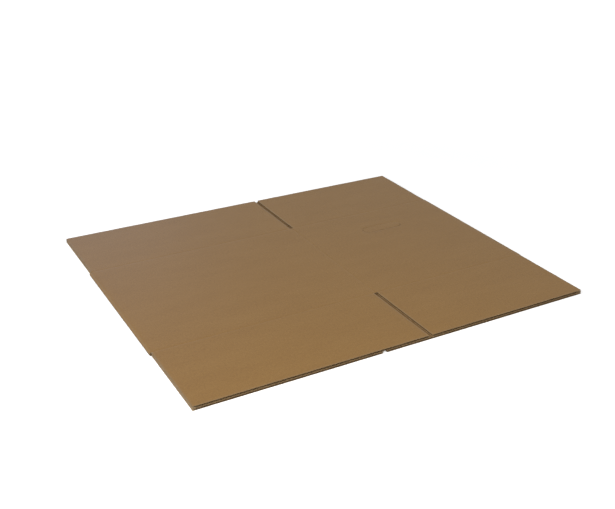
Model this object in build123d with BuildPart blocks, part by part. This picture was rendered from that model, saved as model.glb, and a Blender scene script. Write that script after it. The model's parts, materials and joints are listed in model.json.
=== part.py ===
from build123d import *
from math import atan2, degrees, tan
import os

os.makedirs("parts", exist_ok=True)

# A slotted carton of single-wall corrugated board, folded flat. Its four walls lie in two layers, joined
# by a fold at the left and one at the right, and each wall has a flap at its front and back ends.
# X runs along the front edge, Y from front to back and Z up, and the origin is the middle of the underside.

# Walls and flaps
long_panel = 447.0
short_panel = 353.0
wall_height = 333.0
flap_length = short_panel / 2  # the long flaps meet at the middle of the closed carton
slot_width = 7.0

# Board
board = 3.9
liner = 0.35
medium = 0.3
flute_pitch = 7.9
crest_flat = 1.6  # width of a flute's crest where it is glued to the liner
flute_margin = 1.0  # closed board at least this wide beside each cut edge
layer_gap = 0.25  # between the two layers
fold_corner = 0.75 * board  # outer corners of a fold, where the board bends about its crushed flutes

# Creases and cuts
crease_depth = 0.25
crease_width = 2.0
crease_band = 6.0  # the flutes are crushed shut beside a flap's crease
hinge_clearance = 0.2
seam_width = 1.2
seam_depth = 2.6  # down to the glued tab behind the seam
hand_hole_length = 93.0
hand_hole_width = 25.0
hand_hole_drop = 85.0  # its centre, from the crease of the back flap
hand_hole_cut = 0.8
hand_hole_depth = 0.2

# Sizes of the folded carton
flat_width = long_panel + short_panel
flat_height = 2 * board + layer_gap
blank_height = wall_height + 2 * flap_length
crease_y = wall_height / 2
edge = slot_width / 2  # a flap's side edges stand back from its wall's creases by half a slot
upper_slot_x = -flat_width / 2 + long_panel
lower_slot_x = -upper_slot_x

# Each flap's left and right edges
upper_long = (-flat_width / 2 + edge, upper_slot_x - edge)
upper_short = (upper_slot_x + edge, flat_width / 2 - edge)
lower_short = (-flat_width / 2 + edge, lower_slot_x - edge)
lower_long = (lower_slot_x + edge, flat_width / 2 - edge)

# The medium runs from liner to liner and back in one pitch, with flat crests and straight flanks.
flute_rise = board - 2 * liner - medium
flank_angle = atan2(flute_rise, flute_pitch / 2 - crest_flat)
flute_mouth = flute_pitch - crest_flat - medium * tan(flank_angle / 2)


# Cuts the flutes' open ends out of a board section between two X positions, above the board's base.
def cut_flutes(left, right, base):
    count = int((right - left - 2 * flute_margin) // flute_pitch)
    middle = (left + right) / 2
    lower = base + liner + flute_rise / 2
    upper = base + board - liner - flute_rise / 2
    for height, number, turn in ((lower, count, 0), (upper, count - 1, 180)):
        with Locations((middle, height)):
            with GridLocations(flute_pitch, 1, number, 1):
                Trapezoid(flute_mouth, flute_rise, degrees(flank_angle), rotation=turn, mode=Mode.SUBTRACT)


# A shallow V pressed into a face at height z, open to the outside of the board.
def crease_profile(across, z, inward):
    half = crease_width / 2
    Polygon((across - half, z), (across + half, z), (across, z + inward * crease_depth), align=None)


# The walls in both layers, with the lower layer's flaps
with BuildPart() as carton:
    with BuildSketch(Plane.XZ.offset(-blank_height / 2)):
        with Locations((0, flat_height / 2)):
            RectangleRounded(flat_width, flat_height, fold_corner)
            Rectangle(flat_width - 2 * board, layer_gap, mode=Mode.SUBTRACT)
        cut_flutes(*lower_short, 0)
        cut_flutes(*lower_long, 0)
    extrude(amount=blank_height)

    # The upper layer ends at the creases, where its own flaps begin.
    with BuildSketch(Plane.XY.offset(flat_height / 2)):
        for side in (-1, 1):
            with Locations((0, side * (crease_y + flap_length))):
                Rectangle(flat_width, 2 * flap_length)
    extrude(amount=flat_height, mode=Mode.SUBTRACT)

    # Slots part the lower flaps from each other, and half slots end them short of the side folds.
    with BuildSketch():
        for side in (-1, 1):
            with Locations((0, side * (crease_y + flap_length))):
                with Locations((lower_slot_x, 0), (-flat_width / 2, 0), (flat_width / 2, 0)):
                    Rectangle(slot_width, 2 * flap_length)
    extrude(amount=flat_height, mode=Mode.SUBTRACT)

    # Creases of the flaps, in the underside and in the edge of the upper walls
    with BuildSketch(Plane.YZ.offset(-flat_width / 2)):
        for side in (-1, 1):
            crease_profile(side * crease_y, 0, 1)
            crease_profile(side * crease_y, flat_height, -1)
    extrude(amount=flat_width, mode=Mode.SUBTRACT)

    # Crease between the upper walls, and the seam of the glued joint between the lower ones
    with BuildSketch(Plane.XZ.offset(-crease_y)):
        crease_profile(upper_slot_x, flat_height, -1)
        with Locations((lower_slot_x, 0)):
            Rectangle(seam_width, 2 * seam_depth)
    extrude(amount=wall_height, mode=Mode.SUBTRACT)

    # Hand holes, cut round in each short wall and not punched out. Each cut goes down from its plane.
    upper_start = Plane.XY.offset(flat_height)
    lower_start = Plane.XY.offset(hand_hole_depth)
    for start, hand_x in ((upper_start, upper_short), (lower_start, lower_short)):
        with BuildSketch(start):
            with Locations((sum(hand_x) / 2, crease_y - hand_hole_drop)):
                SlotOverall(hand_hole_length, hand_hole_width)
                SlotOverall(
                    hand_hole_length - 2 * hand_hole_cut,
                    hand_hole_width - 2 * hand_hole_cut,
                    mode=Mode.SUBTRACT,
                )
        extrude(amount=-hand_hole_depth, mode=Mode.SUBTRACT)

carton.part.label = "carton"
export_step(carton.part, "parts/carton.step")

# The upper layer's flaps, each free to turn up on its crease
for name, (left, right), front in (
    ("front_long_flap", upper_long, 1),
    ("front_short_flap", upper_short, 1),
    ("back_long_flap", upper_long, -1),
    ("back_short_flap", upper_short, -1),
):
    middle = (left + right) / 2
    upper_board = board + layer_gap
    with BuildPart() as flap:
        with BuildSketch(Plane.XZ.offset(front * (crease_y + crease_band))):
            with Locations((middle, upper_board + board / 2)):
                Rectangle(right - left, board)
            cut_flutes(left, right, upper_board)
        extrude(amount=front * (flap_length - crease_band))
        with BuildSketch(Plane.XZ.offset(front * (crease_y + hinge_clearance))):
            with Locations((middle, upper_board + board / 2)):
                Rectangle(right - left, board)
        extrude(amount=front * (crease_band - hinge_clearance))
        with BuildSketch(Plane.YZ.offset(left)):
            crease_profile(-front * crease_y, flat_height, -1)
        extrude(amount=right - left, mode=Mode.SUBTRACT)
    flap.part.label = name
    export_step(flap.part, f"parts/{name}.step")
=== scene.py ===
import json
import math

import bmesh
import bpy
from mathutils import Matrix, Vector, noise


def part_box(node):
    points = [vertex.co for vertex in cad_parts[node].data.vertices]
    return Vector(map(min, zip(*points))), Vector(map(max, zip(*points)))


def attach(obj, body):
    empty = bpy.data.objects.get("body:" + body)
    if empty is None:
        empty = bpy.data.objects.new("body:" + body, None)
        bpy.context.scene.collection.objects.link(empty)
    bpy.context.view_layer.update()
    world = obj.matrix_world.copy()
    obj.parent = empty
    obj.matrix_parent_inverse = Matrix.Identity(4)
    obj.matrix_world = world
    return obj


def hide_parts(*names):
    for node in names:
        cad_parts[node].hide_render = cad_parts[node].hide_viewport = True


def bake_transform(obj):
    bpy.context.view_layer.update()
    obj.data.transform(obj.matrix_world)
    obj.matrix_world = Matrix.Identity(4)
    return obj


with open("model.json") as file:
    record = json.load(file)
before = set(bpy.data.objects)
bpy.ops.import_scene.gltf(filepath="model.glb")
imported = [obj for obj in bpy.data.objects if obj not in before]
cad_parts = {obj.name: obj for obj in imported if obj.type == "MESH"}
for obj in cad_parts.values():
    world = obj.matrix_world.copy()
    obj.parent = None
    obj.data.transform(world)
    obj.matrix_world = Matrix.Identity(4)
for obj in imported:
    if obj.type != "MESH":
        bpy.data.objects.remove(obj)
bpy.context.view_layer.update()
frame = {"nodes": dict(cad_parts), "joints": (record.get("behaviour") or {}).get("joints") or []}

print("frame loaded:", ", ".join(sorted(frame["nodes"])))

# Sizes of the folded carton, all from the frame
_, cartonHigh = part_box("carton")
longLow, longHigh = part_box("front_long_flap")
shortLow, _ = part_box("front_short_flap")
halfWidth = cartonHigh.x
endY = cartonHigh.y
height = cartonHigh.z
boardThick = longHigh.z - longLow.z
creaseY = abs(frame["joints"][0]["pos_m"][1])
slotX = (longHigh.x + shortLow.x) / 2
slotHalf = (shortLow.x - longHigh.x) / 2

# The carton is one sheet. Across the sheet, u runs from the glued edge of the lower short wall, over the
# left fold to the upper layer, over the right fold and back along the lower long wall. Up the sheet, y is
# the carton's own. Depth is minus h, from the outer face into the board.
shortWall = halfWidth - slotX
longWall = halfWidth + slotX
leftFold = shortWall
upperCrease = shortWall + longWall
rightFold = upperCrease + shortWall
glueLine = 2 * upperCrease
lowerShort = (slotHalf, leftFold - slotHalf)
upperLong = (leftFold + slotHalf, upperCrease - slotHalf)
upperShort = (upperCrease + slotHalf, rightFold - slotHalf)
lowerLong = (rightFold + slotHalf, glueLine - slotHalf)
panels = (lowerShort, upperLong, upperShort, lowerLong)

millimetre = 0.001
tolerance = 1e-7  # lines and points nearer than this are one

board = {
    "liner": 0.30 * millimetre,
    "medium": 0.24 * millimetre,
    "flutePitch": 7.9 * millimetre,
    "fluteSteps": 12,
    "crestFlat": 1.12,  # above 1 the wave's crests are cut flat, where the glue holds them
    "span": 14 * millimetre,  # widest face left on a liner
    "flapSpan": 9 * millimetre,  # and longest, on a flap and on a wall
    "wallSpan": 45 * millimetre,
    "sharpAngle": 38,  # degrees; faces that meet at less are shaded as one
}

marks = {
    "sideCrush": 0.22 * millimetre,  # each face beside a slot is pressed in this far
    "sideReach": 3.5 * millimetre,
    "endCrush": 0.16 * millimetre,
    "endReach": 2.5 * millimetre,
    "creaseOuter": 0.20 * millimetre,
    "creaseInner": 1.30 * millimetre,
    "creaseReach": 3.0 * millimetre,
    "wallOuter": 0.28 * millimetre,
    "wallInner": 1.20 * millimetre,
    "wallReach": 2.8 * millimetre,
    "handCrush": 0.18 * millimetre,
    "handReach": 1.8 * millimetre,
    "wearReach": 4 * millimetre,  # edges and folds are scuffed this far in
    "foldWear": 0.8,  # below 1 a fold is scuffed further in than an edge
    "litSideReach": 11 * millimetre,  # painted light: open flutes are made paler this far in from a flap's outer side, partly also the medium's own paler paper
}

fold = {
    "radius": 2.9 * millimetre,
    "innerRadius": 0.1 * millimetre,
    "nose": 0.77,  # the board is thinner where it turns
    "lip": 0.4 * millimetre,
    "steps": 9,
    "stepsTo": 1.2,  # radii from the fold to the last of them
    "shoulder": 0.60 * millimetre,  # the outer face sinks towards a fold
    "shoulderAt": 3.5 * millimetre,
    "shoulderReach": 5.5 * millimetre,
}

joint = {
    "gap": 1.2 * millimetre,
    "tabWidth": 32 * millimetre,
    "tabInset": 6 * millimetre,  # the tab stops short of the creases
    "tabDepth": 2.6 * millimetre,
    "step": 1.0 * millimetre,
}

handHole = {
    "length": 93 * millimetre,
    "width": 25 * millimetre,
    "drop": 85 * millimetre,  # from the back crease to its middle
    "cut": 0.8 * millimetre,
    "nick": 3.5 * millimetre,
    "steps": 10,
}

flapBend = {
    "zone": 5 * millimetre,  # the board turns within this much of a crease
    "steps": 10,
}

wander = {
    "edge": 0.22 * millimetre,  # a cut edge isn't quite straight
    "edgeSize": 22 * millimetre,
    "setBack": 0.45 * millimetre,  # the upper flaps end a little behind the lower ones
    "recess": 0.08 * millimetre,  # the medium ends inside the liners
    "recessMore": 0.35 * millimetre,
    "lean": 0.45 * millimetre,  # flutes lean to and fro where the blade went through
    "dents": 1.1,  # share by which the crushing of an edge varies
    "dentSize": 26 * millimetre,
    "sway": 0.10 * millimetre,  # slow rise and fall of the faces
    "swaySize": 90 * millimetre,
    "recessGrain": 1.4,  # steps through the noise from one flute to the next
    "leanGrain": 0.8,
    "endsApart": 3,  # each end, side and layer of the board reads its own noise
    "layersApart": 900,
    "leansApart": 300,
}

handMiddles = (sum(lowerShort) / 2, sum(upperShort) / 2)
handY = creaseY - handHole["drop"]
seamHalf = joint["gap"] / 2
tabEnd = creaseY - joint["tabInset"]


def ease(value):
    value = min(max(value, 0.0), 1.0)
    return value * value * (3 - 2 * value)


def press(distance, reach, depth):
    return depth * (1 - ease(abs(distance) / reach))


def waver(place):
    # Smooth noise, from 0 to 1
    return 0.5 + 0.5 * noise.noise(place)


def handDistance(u, y):
    # From the line of the nearer hand hole
    straight = (handHole["length"] - handHole["width"]) / 2
    distances = []
    for middle in handMiddles:
        across = max(abs(u - middle) - straight, 0.0)
        distances.append(abs(math.hypot(across, y - handY) - handHole["width"] / 2))
    return min(distances)


def relief(u, y):
    # How far the outer and the inner face are pressed in
    beyond = abs(y) - creaseY
    onFlap = ease(beyond / marks["creaseReach"])
    dents = 1 + wander["dents"] * noise.noise(Vector((u, y, 0.1)) / wander["dentSize"])
    ends = press(endY - abs(y), marks["endReach"], marks["endCrush"] * dents)
    sway = wander["sway"] * waver(Vector((u, y, 0.3)) / wander["swaySize"])
    outer = ends + sway + press(beyond, marks["creaseReach"], marks["creaseOuter"])
    fromShoulder = min(abs(u - leftFold), abs(u - rightFold)) - fold["shoulderAt"]
    outer += press(fromShoulder, fold["shoulderReach"], fold["shoulder"]) * (1 - onFlap)
    inner = ends + press(beyond, marks["creaseReach"], marks["creaseInner"])
    if beyond > 0:
        nearest = min(abs(u - edge) for panel in panels for edge in panel)
        sides = press(nearest, marks["sideReach"], marks["sideCrush"] * dents) * onFlap
        return outer + sides, inner + sides
    wallCrease = press(u - upperCrease, marks["wallReach"], 1)
    handLine = press(handDistance(u, y), marks["handReach"], marks["handCrush"])
    outer += wallCrease * marks["wallOuter"] + handLine
    outer += joint["tabDepth"] * ease((u - glueLine + seamHalf) / joint["step"])
    tabZone = ease((creaseY - joint["tabInset"] / 2 - abs(y)) / (joint["tabInset"] / 2))
    tabPress = (boardThick - joint["tabDepth"]) * tabZone
    inner += wallCrease * marks["wallInner"]
    inner += tabPress * (1 - ease((u - joint["tabWidth"]) / joint["gap"]))
    return outer, inner


def settle(h, outer, inner):
    # The liners keep their thickness, and the medium between them takes what is left.
    top = -board["liner"]
    bottom = -boardThick + board["liner"]
    if h >= top:
        return h - outer
    if h <= bottom:
        return h + inner
    share = (h - bottom) / (top - bottom)
    return (bottom + inner) * (1 - share) + (top - outer) * share


def folded(u, depth):
    # Where a point of the sheet lies once the carton is folded: across, and up
    if abs(u - leftFold) < abs(u - rightFold):
        side, over = -1, u - leftFold
    else:
        side, over = 1, rightFold - u
    away = abs(over)
    half = height / 2 - depth
    radius = min(max(fold["radius"] - depth, fold["innerRadius"]), half)
    start = fold["nose"] * depth
    reach = max(fold["radius"], start + fold["lip"])
    if away < reach:
        straight = half - radius
        turn = math.pi / 2 * radius
        travel = away / reach * (straight + turn + reach - start - radius)
        if travel < straight:
            away, rise = start, travel
        elif travel < straight + turn:
            angle = (travel - straight) / radius
            away, rise = start + radius * (1 - math.cos(angle)), straight + radius * math.sin(angle)
        else:
            away, rise = start + radius + travel - straight - turn, half
    else:
        rise = half
    return side * (halfWidth - away), height / 2 + math.copysign(rise, over)


def isUpper(u):
    return leftFold < u < rightFold


# A cut edge wanders a little, and the medium stands back from it.
def wandering(u, y, h):
    if abs(y) < creaseY:
        return u, y
    isMedium = -boardThick + board["liner"] < h < -board["liner"]
    apart = wander["endsApart"]
    layerPick = h * wander["layersApart"]
    shift = wander["edge"] * waver(Vector((u / wander["edgeSize"], y * apart, layerPick)))
    shift += wander["setBack"] if isUpper(u) else 0
    near = ease(1 - (endY - abs(y)) / (2 * marks["endReach"]))
    if isMedium:
        flute = u / board["flutePitch"]
        hollow = abs(noise.noise(Vector((flute * wander["recessGrain"], y, 0.5))))
        lean = noise.noise(Vector((flute * wander["leanGrain"], h * wander["leansApart"], y)))
        shift += wander["recess"] + wander["recessMore"] * hollow
        u += near * wander["lean"] * lean
    sideShift = wander["edge"] * waver(Vector((y / wander["edgeSize"], u * apart, layerPick)))
    for left, right in panels:
        if left - millimetre < u < right + millimetre:
            sideShift += wander["recess"] if isMedium else 0
            sideShift *= ease((abs(y) - creaseY) / marks["creaseReach"])
            u += sideShift * ease(1 - (u - left) / marks["sideReach"])
            u -= sideShift * ease(1 - (right - u) / marks["sideReach"])
            break
    return u, y - math.copysign(shift * near, y)


def allOf(bm):
    return bm.verts[:] + bm.edges[:] + bm.faces[:]


def cutLines(bm, us, ys):
    planes = [((u, 0, 0), (1, 0, 0)) for u in us] + [((0, y, 0), (0, 1, 0)) for y in ys]
    for place, normal in planes:
        bmesh.ops.bisect_plane(bm, geom=allOf(bm), plane_co=place, plane_no=normal, dist=tolerance)


def keepOnly(bm, areas):
    # An area of the sheet is its left, right, front and back.
    unwanted = []
    for face in bm.faces:
        middle = face.calc_center_median()
        if not any(a[0] < middle.x < a[1] and a[2] < middle.y < a[3] for a in areas):
            unwanted.append(face)
    bmesh.ops.delete(bm, geom=unwanted, context="FACES")


def spread(low, high, most):
    slack = 1e-6  # so that rounding adds no step
    count = max(1, math.ceil((high - low) / most - slack))
    return [low + (high - low) * step / count for step in range(count + 1)]


def filled(lines, low, high, mostAt):
    # The wanted lines in order, with more between them where they stand far apart
    inside = [line for line in lines if low - tolerance < line < high + tolerance]
    wanted = sorted({round(line, 7) for line in inside})
    result = wanted[:1]
    for first, second in zip(wanted, wanted[1:]):
        result.extend(spread(first, second, mostAt((first + second) / 2))[1:])
    return result


# Lines of a piece's grid: its outline, the slopes of the pressed places, and a few more between them
def linesAcross(areas, forLiner):
    low = min(a[0] for a in areas)
    high = max(a[1] for a in areas)
    lines = {edge for a in areas for edge in a[:2]}
    seamStart = glueLine - seamHalf
    seamEnd = seamStart + joint["step"]
    if not forLiner:
        return sorted(lines | {seamEnd})
    sideShares = (0.2, 0.45, 0.7, 1.0)
    wallShares = (0, 0.3, 0.6, 1)
    steps = fold["steps"]
    shoulderEnd = fold["shoulderAt"] + fold["shoulderReach"]
    shoulder = spread(fold["shoulderAt"], shoulderEnd, fold["shoulderReach"] / 4)
    for panel in panels:
        for edge, inward in zip(panel, (1, -1)):
            lines.update(edge + inward * share * marks["sideReach"] for share in sideShares)
    for sign in (-1, 1):
        lines.update(upperCrease + sign * share * marks["wallReach"] for share in wallShares)
        for line in (leftFold, rightFold):
            for step in range(steps + 1):
                lines.add(line + sign * step / steps * fold["radius"] * fold["stepsTo"])
            lines.update(line + sign * away for away in shoulder)
    lines.update(spread(seamStart, seamEnd, joint["step"] / 4))
    lines.update((joint["tabWidth"], joint["tabWidth"] + joint["gap"]))
    return filled(lines, low, high, lambda middle: board["span"])


def linesUp(areas, forLiner, bending):
    low = min(a[2] for a in areas)
    high = max(a[3] for a in areas)
    lines = {edge for a in areas for edge in a[2:]}
    creaseShares = (-1, -0.6, -0.3, 0, 0.3, 0.6, 1) if forLiner else (-1, -0.5, 0, 0.5, 1)
    endShares = (0, 0.3, 0.6, 1, 2) if forLiner else (0, 1, 2)
    for sign in (-1, 1):
        lines.update(sign * (creaseY + share * marks["creaseReach"]) for share in creaseShares)
        lines.update(sign * (endY - share * marks["endReach"]) for share in endShares)
        if forLiner:
            lines.add(sign * (creaseY - joint["tabInset"] / 2))
        if bending:
            steps = flapBend["steps"]
            lines.update(sign * (creaseY + flapBend["zone"] * step / steps) for step in range(steps + 1))

    def mostAt(middle):
        if not forLiner:
            return 2 * endY  # the medium runs straight from line to line
        return board["flapSpan"] if abs(middle) > creaseY else board["wallSpan"]

    return filled(lines, low, high, mostAt)


def coverSheet(areas, forLiner, bending):
    bm = bmesh.new()
    low = min(a[0] for a in areas)
    high = max(a[1] for a in areas)
    if forLiner:
        count = 1
    else:
        step = board["flutePitch"] / board["fluteSteps"]
        low = math.floor(low / step) * step
        count = math.ceil((high - low) / step)
        high = low + count * step
    bmesh.ops.create_grid(bm, x_segments=count, y_segments=1, size=0.5)
    bmesh.ops.scale(bm, verts=bm.verts[:], vec=(high - low, 2 * endY, 1))
    bmesh.ops.translate(bm, verts=bm.verts[:], vec=((high + low) / 2, 0, 0))
    cutLines(bm, linesAcross(areas, forLiner), linesUp(areas, forLiner, bending))
    keepOnly(bm, areas)
    return bm


def obround(bm, middle, grow):
    # A closed line round a hand hole, this much outside it
    segments = 4 * handHole["steps"]
    radius = handHole["width"] / 2 + grow
    turn = Matrix.Rotation(math.pi / segments, 4, "Z")
    made = bmesh.ops.create_circle(bm, segments=segments, radius=radius, matrix=turn)["verts"]
    straight = handHole["length"] - handHole["width"]
    for vert in made:
        vert.co.x += math.copysign(straight / 2, vert.co.x)
    bmesh.ops.translate(bm, verts=made, vec=(middle, handY, 0))
    line = list({edge for vert in made for edge in vert.link_edges})
    long = [edge for edge in line if edge.calc_length() > straight / 2]
    cuts = round(straight / handHole["nick"])
    pieces = bmesh.ops.subdivide_edges(bm, edges=long, cuts=cuts)["geom_split"]
    return list(set(line) | {part for part in pieces if isinstance(part, bmesh.types.BMEdge)})


# The line of a hand hole is cut through the outer liner, apart from the nicks that hold the flap in.
def cutHandHole(bm, middle):
    reach = marks["handReach"]
    margin = 4 * reach
    halfLength = handHole["length"] / 2 + margin
    halfWide = handHole["width"] / 2 + margin
    us = (middle - halfLength, middle + halfLength)
    ys = (handY - halfWide, handY + halfWide)
    cutLines(bm, us, ys)
    window = [f for f in bm.faces if us[0] < f.calc_center_median().x < us[1]
              and ys[0] < f.calc_center_median().y < ys[1]]
    rim = [e for e in {e for f in window for e in f.edges} if sum(f in window for f in e.link_faces) == 1]
    bmesh.ops.delete(bm, geom=window, context="FACES")
    line = obround(bm, middle, reach)
    bmesh.ops.triangle_fill(bm, use_beauty=True, edges=rim + line, normal=(0, 0, 1))
    core = bmesh.ops.contextual_create(bm, geom=line)["faces"]
    slope = (reach / 2, reach / 2)
    rings = []
    for step in (*slope, handHole["cut"], *slope):
        ring = bmesh.ops.inset_region(bm, faces=core, thickness=step, use_even_offset=True)
        rings.append(ring["faces"])
    bmesh.ops.triangulate(bm, faces=core)
    cut = []
    for face in rings[len(slope)]:
        place = face.calc_center_median() - Vector((middle, handY, 0))
        fromNick = min(abs(abs(place.x) - handHole["length"] / 4), abs(place.y))
        if fromNick > handHole["nick"] / 2:
            cut.append(face)
    bmesh.ops.delete(bm, geom=cut, context="FACES")


# Materials on a piece, in this order
outerFace, innerFace, shadedFlutePaper, cutEdge = range(4)

layers = {
    "outer liner": {
        "top": 0.0,
        "thick": board["liner"],
        "faces": (outerFace, shadedFlutePaper),
    },
    "inner liner": {
        "top": -boardThick + board["liner"],
        "thick": board["liner"],
        "faces": (shadedFlutePaper, innerFace),
    },
    "medium": {
        "top": (board["medium"] - boardThick) / 2,
        "thick": board["medium"],
        "faces": (shadedFlutePaper, shadedFlutePaper),
    },
}


def makeLayer(name, areas, bending, handHoles):
    layer = layers[name]
    forLiner = name != "medium"
    bm = coverSheet(areas, forLiner, bending)
    if name == "outer liner":
        for middle in handHoles:
            cutHandHole(bm, middle)
    bmesh.ops.remove_doubles(bm, verts=bm.verts[:], dist=tolerance)
    bm.normal_update()
    bmesh.ops.reverse_faces(bm, faces=[face for face in bm.faces if face.normal.z < 0])
    bmesh.ops.translate(bm, verts=bm.verts[:], vec=(0, 0, layer["top"]))
    if not forLiner:
        swing = (boardThick - board["medium"]) / 2 - board["liner"]
        for vert in bm.verts:
            wave = board["crestFlat"] * math.sin(2 * math.pi * vert.co.x / board["flutePitch"])
            vert.co.z += swing * min(max(wave, -1), 1)
    bm.normal_update()
    topSide = set(bm.verts)
    bmesh.ops.solidify(bm, geom=bm.faces[:], thickness=layer["thick"])
    for face in bm.faces:
        onTop = sum(vert in topSide for vert in face.verts)
        if onTop == len(face.verts):
            face.material_index = layer["faces"][0]
        elif onTop == 0:
            face.material_index = layer["faces"][1]
        else:
            face.material_index = cutEdge
    return bm


def layUp(bm):
    # From the flat sheet to the folded carton. Each point keeps its place on the sheet for the materials.
    place = bm.verts.layers.float_vector.new("place")
    wear = bm.verts.layers.float.new("wear")
    litSide = bm.verts.layers.float.new("litSide")
    for vert in bm.verts:
        u, y, h = vert.co
        vert[place] = (u, y, h)
        vert[wear] = wearAt(u, y)
        vert[litSide] = litSideAt(u, y)
        outer, inner = relief(u, y)
        u, y = wandering(u, y, h)
        across, up = folded(u, -settle(h, outer, inner))
        vert.co = (across, y, up)


def wearAt(u, y):
    # 1 on a worn edge or fold, down to 0 a little way in
    nearest = min(abs(u - leftFold), abs(u - rightFold)) * marks["foldWear"]
    if abs(y) > creaseY:
        nearest = min(endY - abs(y), min(abs(u - edge) for panel in panels for edge in panel))
    return ease(1 - nearest / marks["wearReach"])


def litSideAt(u, y):
    # 1 on the flaps' outer sides, down to 0 a little way in: painted light, where the open flutes are made
    # paler than the painted flute shade, partly also the medium's own paler paper; the slots keep the
    # painted shade
    if abs(y) < creaseY:
        return 0.0
    fromFold = min(abs(u - leftFold), abs(u - rightFold))
    return ease(1 - (fromFold - slotHalf) / marks["litSideReach"])


def markSharp(bm):
    limit = math.radians(board["sharpAngle"])
    for face in bm.faces:
        face.smooth = True
    for edge in bm.edges:
        edge.smooth = len(edge.link_faces) == 2 and edge.calc_face_angle(0) < limit


def makePiece(name, areas, node, bending=False, handHoles=()):
    mesh = bpy.data.meshes.new(name)
    joined = bmesh.new()
    for layerName in layers:
        bm = makeLayer(layerName, areas, bending, handHoles)
        layUp(bm)
        bm.normal_update()
        markSharp(bm)
        part = bpy.data.meshes.new("part")
        bm.to_mesh(part)
        bm.free()
        joined.from_mesh(part)
        bpy.data.meshes.remove(part)
    joined.to_mesh(mesh)
    triangles = sum(len(face.verts) - 2 for face in joined.faces)
    joined.free()
    piece = bpy.data.objects.new(name, mesh)
    bpy.context.scene.collection.objects.link(piece)
    for material in boardMaterials:
        mesh.materials.append(material)
    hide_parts(node)
    print(name, "made,", triangles, "triangles")
    return piece


def linear(red, green, blue):
    # From a screen's 0 to 255 to the amounts of light that a shader takes
    def convert(value):
        value = value / 255
        return value / 12.92 if value < 0.04045 else ((value + 0.055) / 1.055) ** 2.4
    return convert(red), convert(green), convert(blue), 1.0


class Wire:
    # A socket of a material, so that shader maths reads as an expression
    def __init__(self, tree, socket):
        self.tree = tree
        self.socket = socket

    def maths(self, operation, first, second):
        return self.tree.node("ShaderNodeMath", {"operation": operation}, {0: first, 1: second})

    def __add__(self, other):
        return self.maths("ADD", self, other)

    def __radd__(self, other):
        return self.maths("ADD", other, self)

    def __sub__(self, other):
        return self.maths("SUBTRACT", self, other)

    def __rsub__(self, other):
        return self.maths("SUBTRACT", other, self)

    def __mul__(self, other):
        return self.maths("MULTIPLY", self, other)

    def __rmul__(self, other):
        return self.maths("MULTIPLY", other, self)

    def __gt__(self, other):
        return self.maths("GREATER_THAN", self, other)

    def __lt__(self, other):
        return self.maths("LESS_THAN", self, other)


class Tree:
    def __init__(self, owner):
        owner.use_nodes = True
        self.nodes = owner.node_tree.nodes
        self.links = owner.node_tree.links
        self.nodes.clear()

    def node(self, kind, settings=None, inputs=None, output=0):
        made = self.nodes.new(kind)
        for key, value in (settings or {}).items():
            setattr(made, key, value)
        for key, value in (inputs or {}).items():
            if isinstance(value, Wire):
                self.links.new(value.socket, made.inputs[key])
            else:
                made.inputs[key].default_value = value
        return Wire(self, made.outputs[output]) if made.outputs else made

    def mixed(self, factor, first, second):
        # Its colour sockets share their names with others, so they go by number.
        return self.node("ShaderNodeMix", {"data_type": "RGBA"},
                         {"Factor": factor, 6: first, 7: second}, output=2)

    def ramp(self, value, low, high):
        return self.node("ShaderNodeMapRange", {"interpolation_type": "SMOOTHSTEP"},
                         {"Value": value, "From Min": low, "From Max": high})

    def vector(self, operation, *inputs):
        return self.node("ShaderNodeVectorMath", {"operation": operation}, dict(enumerate(inputs)))

    def grain(self, vector, size, detail, roughness, turn=0.0, output=0):
        # Noise whose grains have about this size in millimetres
        sides = tuple(side * millimetre for side in size)
        turned = self.node("ShaderNodeMapping", {"vector_type": "TEXTURE"},
                           {"Vector": vector, "Rotation": (0, 0, turn), "Scale": sides})
        return self.node("ShaderNodeTexNoise", None,
                         {"Vector": turned, "Scale": 1.0, "Detail": detail, "Roughness": roughness}, output)


papers = {
    "outerKraft": {
        "colour": linear(136, 100, 46),
        "pale": linear(154, 120, 69),
        "dark": linear(105, 72, 30),
        "scuffed": linear(142, 118, 86),
        "cloud": 0.55,
        "fibre": 0.34,
        "strand": 0.60,
        "speck": 0.6,
        "roughness": 0.48,
        "bump": 0.45,
        "ribs": 0.17,  # the liner sags between the flutes
        "litSideShare": 0.0,
    },
    "innerKraft": {
        "colour": linear(128, 97, 58),
        "pale": linear(147, 118, 80),
        "dark": linear(96, 69, 36),
        "scuffed": linear(150, 125, 90),
        "cloud": 0.60,
        "fibre": 0.38,
        "strand": 0.7,
        "speck": 0.6,
        "roughness": 0.62,
        "bump": 0.5,
        "ribs": -0.17,
        "litSideShare": 0.0,
    },
    # Painted shade: the medium and the liners' faces inside the flutes are darker than the paper's own
    # colour, standing for the shade deep in the flute hollows
    "shadedFlutePaper": {
        "colour": linear(97, 74, 46),
        "pale": linear(119, 94, 63),
        "dark": linear(66, 49, 28),
        "scuffed": linear(102, 79, 50),
        "cloud": 0.70,
        "fibre": 0.50,
        "strand": 0.8,
        "speck": 0.5,
        "roughness": 0.82,
        "bump": 0.5,
        "ribs": 0.0,
        "litSideShare": 0.85,
    },
    "cutEdge": {
        "colour": linear(174, 145, 105),
        "pale": linear(192, 165, 125),
        "dark": linear(124, 98, 64),
        "scuffed": linear(172, 145, 108),
        "cloud": 0.5,
        "fibre": 0.5,
        "strand": 0.5,
        "speck": 0.3,
        "roughness": 0.9,
        "bump": 0.7,
        "ribs": 0.0,
        "litSideShare": 0.4,
    },
}

# Sizes in millimetres, most of them longer the way the paper ran through its machine
grains = {
    "mottle": {"size": (140, 38, 50), "detail": 4, "roughness": 0.65},
    "cloud": {"size": (4.0, 4.4, 3.4), "detail": 4, "roughness": 0.6},
    "fibres": {"size": (2.4, 0.38, 1.1), "detail": 3, "roughness": 0.6},
    "strands": {"size": (2.6, 0.16, 0.5), "detail": 1, "roughness": 0.5},
    "drift": {"size": (7.0, 7.0, 7.0), "detail": 2, "roughness": 0.5},
}

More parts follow.
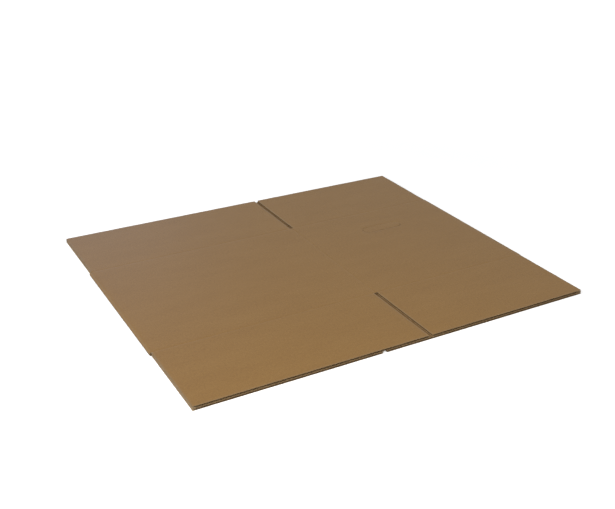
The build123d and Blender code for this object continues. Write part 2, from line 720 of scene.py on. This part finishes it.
pulp = {
    "mottle": 0.30,
    "turns": (0.05, 0.55, -0.65, 1.3),  # ways in which the strands lie
    "strandFrom": 0.58,
    "strandTo": 0.72,
    "strandShare": 0.3,
    "drift": 5.0 * millimetre,  # strands don't run straight
    "bitScale": 520.0,
    "darkBit": 0.16,  # size of a bit in its cell of the pattern
    "darkFrom": 0.93,  # and which cells have one, by their pick from 0 to 1
    "paleBit": 0.20,
    "paleTo": 0.05,
    "contrast": 2.2,
    "wornLeast": 0.3,
    "wornCloud": 0.5,
    "litSideColour": linear(175, 153, 122),
    "roughnessRange": 0.08,
    "specular": 0.3,
    "bumpHeight": 0.12 * millimetre,
    "fibreBump": 0.4,
    "cloudBump": 0.3,
    "strandBump": 0.12,
}


def paperMaterial(name):
    values = papers[name]
    material = bpy.data.materials.new(name)
    tree = Tree(material)
    place = tree.node("ShaderNodeAttribute", {"attribute_name": "place"}, output="Vector")
    wear = tree.node("ShaderNodeAttribute", {"attribute_name": "wear"}, output="Fac")
    litSide = tree.node("ShaderNodeAttribute", {"attribute_name": "litSide"}, output="Fac")

    mottle = tree.grain(place, **grains["mottle"])
    cloud = tree.grain(place, **grains["cloud"])
    fibres = tree.grain(place, **grains["fibres"])
    drift = tree.grain(place, **grains["drift"], output="Color")
    drift = tree.vector("MULTIPLY_ADD", drift, (pulp["drift"],) * 3, (-pulp["drift"] / 2,) * 3)
    bent = tree.vector("ADD", place, drift)
    strands = [tree.grain(bent, **grains["strands"], turn=turn) for turn in pulp["turns"]]
    paleStrands = sum(tree.ramp(strand, pulp["strandFrom"], pulp["strandTo"]) for strand in strands)
    darkStrands = sum(tree.ramp(1 - strand, pulp["strandFrom"], pulp["strandTo"]) for strand in strands)

    # Light and dark bits in the pulp
    cells = {"Vector": place, "Scale": pulp["bitScale"]}
    bits = tree.node("ShaderNodeTexVoronoi", None, cells)
    bitPlace = tree.node("ShaderNodeTexVoronoi", None, cells, output="Position")
    bitPick = tree.node("ShaderNodeTexWhiteNoise", {"noise_dimensions": "3D"}, {"Vector": bitPlace})
    darkBits = (bits < pulp["darkBit"]) * (bitPick > pulp["darkFrom"])
    paleBits = (bits < pulp["paleBit"]) * (bitPick < pulp["paleTo"])

    shade = (mottle - 0.5) * pulp["mottle"] + (cloud - 0.5) * values["cloud"]
    shade = shade + (fibres - 0.5) * values["fibre"]
    shade = shade + (paleStrands - darkStrands) * values["strand"] * pulp["strandShare"]
    paleShare = tree.ramp(shade, 0.0, 1 / pulp["contrast"])
    darkShare = tree.ramp(0 - shade, 0.0, 1 / pulp["contrast"])
    colour = tree.mixed(paleShare, values["colour"], values["pale"])
    colour = tree.mixed(darkShare, colour, values["dark"])
    colour = tree.mixed(darkBits * values["speck"], colour, values["dark"])
    colour = tree.mixed(paleBits * values["speck"], colour, values["pale"])
    worn = wear * (pulp["wornLeast"] + cloud * pulp["wornCloud"])
    colour = tree.mixed(worn, colour, values["scuffed"])
    # Painted light on the flaps' outer sides, partly also the medium's own paler paper there
    colour = tree.mixed(litSide * values["litSideShare"], colour, pulp["litSideColour"])

    across = tree.node("ShaderNodeSeparateXYZ", None, {"Vector": place})
    turned = across * (2 * math.pi / board["flutePitch"])
    ribs = tree.node("ShaderNodeMath", {"operation": "SINE"}, {0: turned})
    tall = fibres * pulp["fibreBump"] + cloud * pulp["cloudBump"]
    tall = tall + paleStrands * pulp["strandBump"] + ribs * values["ribs"]
    bump = tree.node("ShaderNodeBump", None,
                     {"Height": tall, "Strength": values["bump"], "Distance": pulp["bumpHeight"]})
    leastRough = values["roughness"] - pulp["roughnessRange"] / 2
    shader = tree.node("ShaderNodeBsdfPrincipled", None, {
        "Base Color": colour,
        "Roughness": leastRough + cloud * pulp["roughnessRange"],
        "Normal": bump,
        "Specular IOR Level": pulp["specular"],
    })
    tree.node("ShaderNodeOutputMaterial", None, {"Surface": shader})
    return material


# In the order that the faces' numbers follow
boardMaterials = [paperMaterial(name) for name in papers]
print("materials made:", ", ".join(papers))

cartonAreas = [
    (seamHalf, glueLine, -creaseY, creaseY),
    (glueLine, glueLine + joint["tabWidth"], -tabEnd, tabEnd),
]
for panel in (lowerShort, lowerLong):
    cartonAreas.append((*panel, -endY, -creaseY))
    cartonAreas.append((*panel, creaseY, endY))
carton = makePiece("cartonBoard", cartonAreas, "carton", handHoles=handMiddles)
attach(carton, "folded_carton")

for name, body, panel, sign in (
    ("frontLongBoard", "front_long", upperLong, -1),
    ("frontShortBoard", "front_short", upperShort, -1),
    ("backLongBoard", "back_long", upperLong, 1),
    ("backShortBoard", "back_short", upperShort, 1),
):
    low, high = sorted((sign * creaseY, sign * endY))
    flap = makePiece(name, [(*panel, low, high)], body + "_flap", bending=True)
    crease = next(j for j in frame["joints"] if j["child"] == body)["pos_m"]
    beyond = (crease[0], crease[1] + sign * flapBend["zone"], crease[2])
    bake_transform(flap)

floor = {
    "size": 16.0,
    "below": 0.05 * millimetre,
    "seen": 0.92,
    "lit": 0.45,  # what it throws back on the object
    "glowNear": 0.46,  # weak near the object, where it keeps the shadow
    "glowFar": 1.0,
    "near": 0.7,
    "far": 1.8,
}


def grey(level):
    return level, level, level, 1.0


def makeFloor():
    bm = bmesh.new()
    bmesh.ops.create_grid(bm, x_segments=1, y_segments=1, size=floor["size"] / 2)
    bmesh.ops.translate(bm, verts=bm.verts[:], vec=(0, 0, -floor["below"]))
    mesh = bpy.data.meshes.new("floor")
    bm.to_mesh(mesh)
    bm.free()
    plane = bpy.data.objects.new("floor", mesh)
    bpy.context.scene.collection.objects.link(plane)
    material = bpy.data.materials.new("floorPaint")
    tree = Tree(material)
    seen = tree.node("ShaderNodeLightPath", output="Is Camera Ray")
    tone = tree.mixed(seen, grey(floor["lit"]), grey(floor["seen"]))
    matt = tree.node("ShaderNodeBsdfDiffuse", None, {"Color": tone})
    place = tree.node("ShaderNodeTexCoord", output="Object")
    distance = tree.node("ShaderNodeVectorMath", {"operation": "LENGTH"}, {0: place}, output="Value")
    farShare = tree.ramp(distance, floor["near"], floor["far"])
    glow = tree.mixed(farShare, grey(floor["glowNear"]), grey(floor["glowFar"]))
    shine = tree.node("ShaderNodeEmission", None, {"Color": tree.mixed(seen, grey(0), glow)})
    both = tree.node("ShaderNodeAddShader", None, {0: matt, 1: shine})
    tree.node("ShaderNodeOutputMaterial", None, {"Surface": both})
    mesh.materials.append(material)


makeFloor()

sky = 0.27  # light from the room, which itself shows white

# A window on the left, a weaker lamp beside the camera, and a faint cool glow low behind the object
lights = {
    "window": {"place": (-4.0, -0.48, 2.6), "size": 1.3, "power": 110.0, "colour": (1.0, 1.0, 1.0)},
    "lamp": {"place": (-0.6, -1.30, 1.05), "size": 0.8, "power": 15.2, "colour": (1.0, 1.0, 1.0)},
    "glow": {"place": (0.1, 2.3, 0.8), "size": 1.2, "power": 4.0, "colour": (0.3, 0.55, 1.0)},
}


def makeLights():
    world = bpy.data.worlds.new("room")
    bpy.context.scene.world = world
    tree = Tree(world)
    seen = (tree.node("ShaderNodeLightPath", output="Is Camera Ray")
            + tree.node("ShaderNodeLightPath", output="Is Glossy Ray")
            + tree.node("ShaderNodeLightPath", output="Is Transmission Ray"))
    strength = sky + (seen > 0.5) * (1 - sky)
    background = tree.node("ShaderNodeBackground", None, {"Color": (1, 1, 1, 1), "Strength": strength})
    tree.node("ShaderNodeOutputWorld", None, {"Surface": background})
    for name, values in lights.items():
        light = bpy.data.lights.new(name, "AREA")
        light.shape = "DISK"
        light.size = values["size"]
        light.energy = values["power"]
        light.color = values["colour"]
        holder = bpy.data.objects.new(name, light)
        holder.location = values["place"]
        holder.rotation_euler = (-Vector(values["place"])).to_track_quat("-Z", "Y").to_euler()
        holder.visible_camera = False
        bpy.context.scene.collection.objects.link(holder)


makeLights()

view = {
    "place": (-0.8046, -1.4219, 0.8173),
    "yaw": 29.299,  # degrees to the right of the +Y direction
    "pitch": 25.817,
    "roll": 0.5,
    "lens": 53.45,
    "sensor": 36.0,
    "nearest": 0.01,
    "farthest": 50.0,
}


def makeCamera():
    camera = bpy.data.cameras.new("camera")
    camera.lens = view["lens"]
    camera.sensor_width = view["sensor"]
    camera.clip_start = view["nearest"]
    camera.clip_end = view["farthest"]
    cameraObject = bpy.data.objects.new("camera", camera)
    turn = Matrix.Rotation(math.radians(-view["yaw"]), 4, "Z")
    turn = turn @ Matrix.Rotation(math.radians(90 - view["pitch"]), 4, "X")
    turn = turn @ Matrix.Rotation(math.radians(view["roll"]), 4, "Z")
    cameraObject.matrix_world = Matrix.Translation(view["place"]) @ turn
    bpy.context.scene.collection.objects.link(cameraObject)
    bpy.context.scene.camera = cameraObject


makeCamera()
bpy.context.scene.view_settings.view_transform = "Standard"
print("floor, lights and camera made")
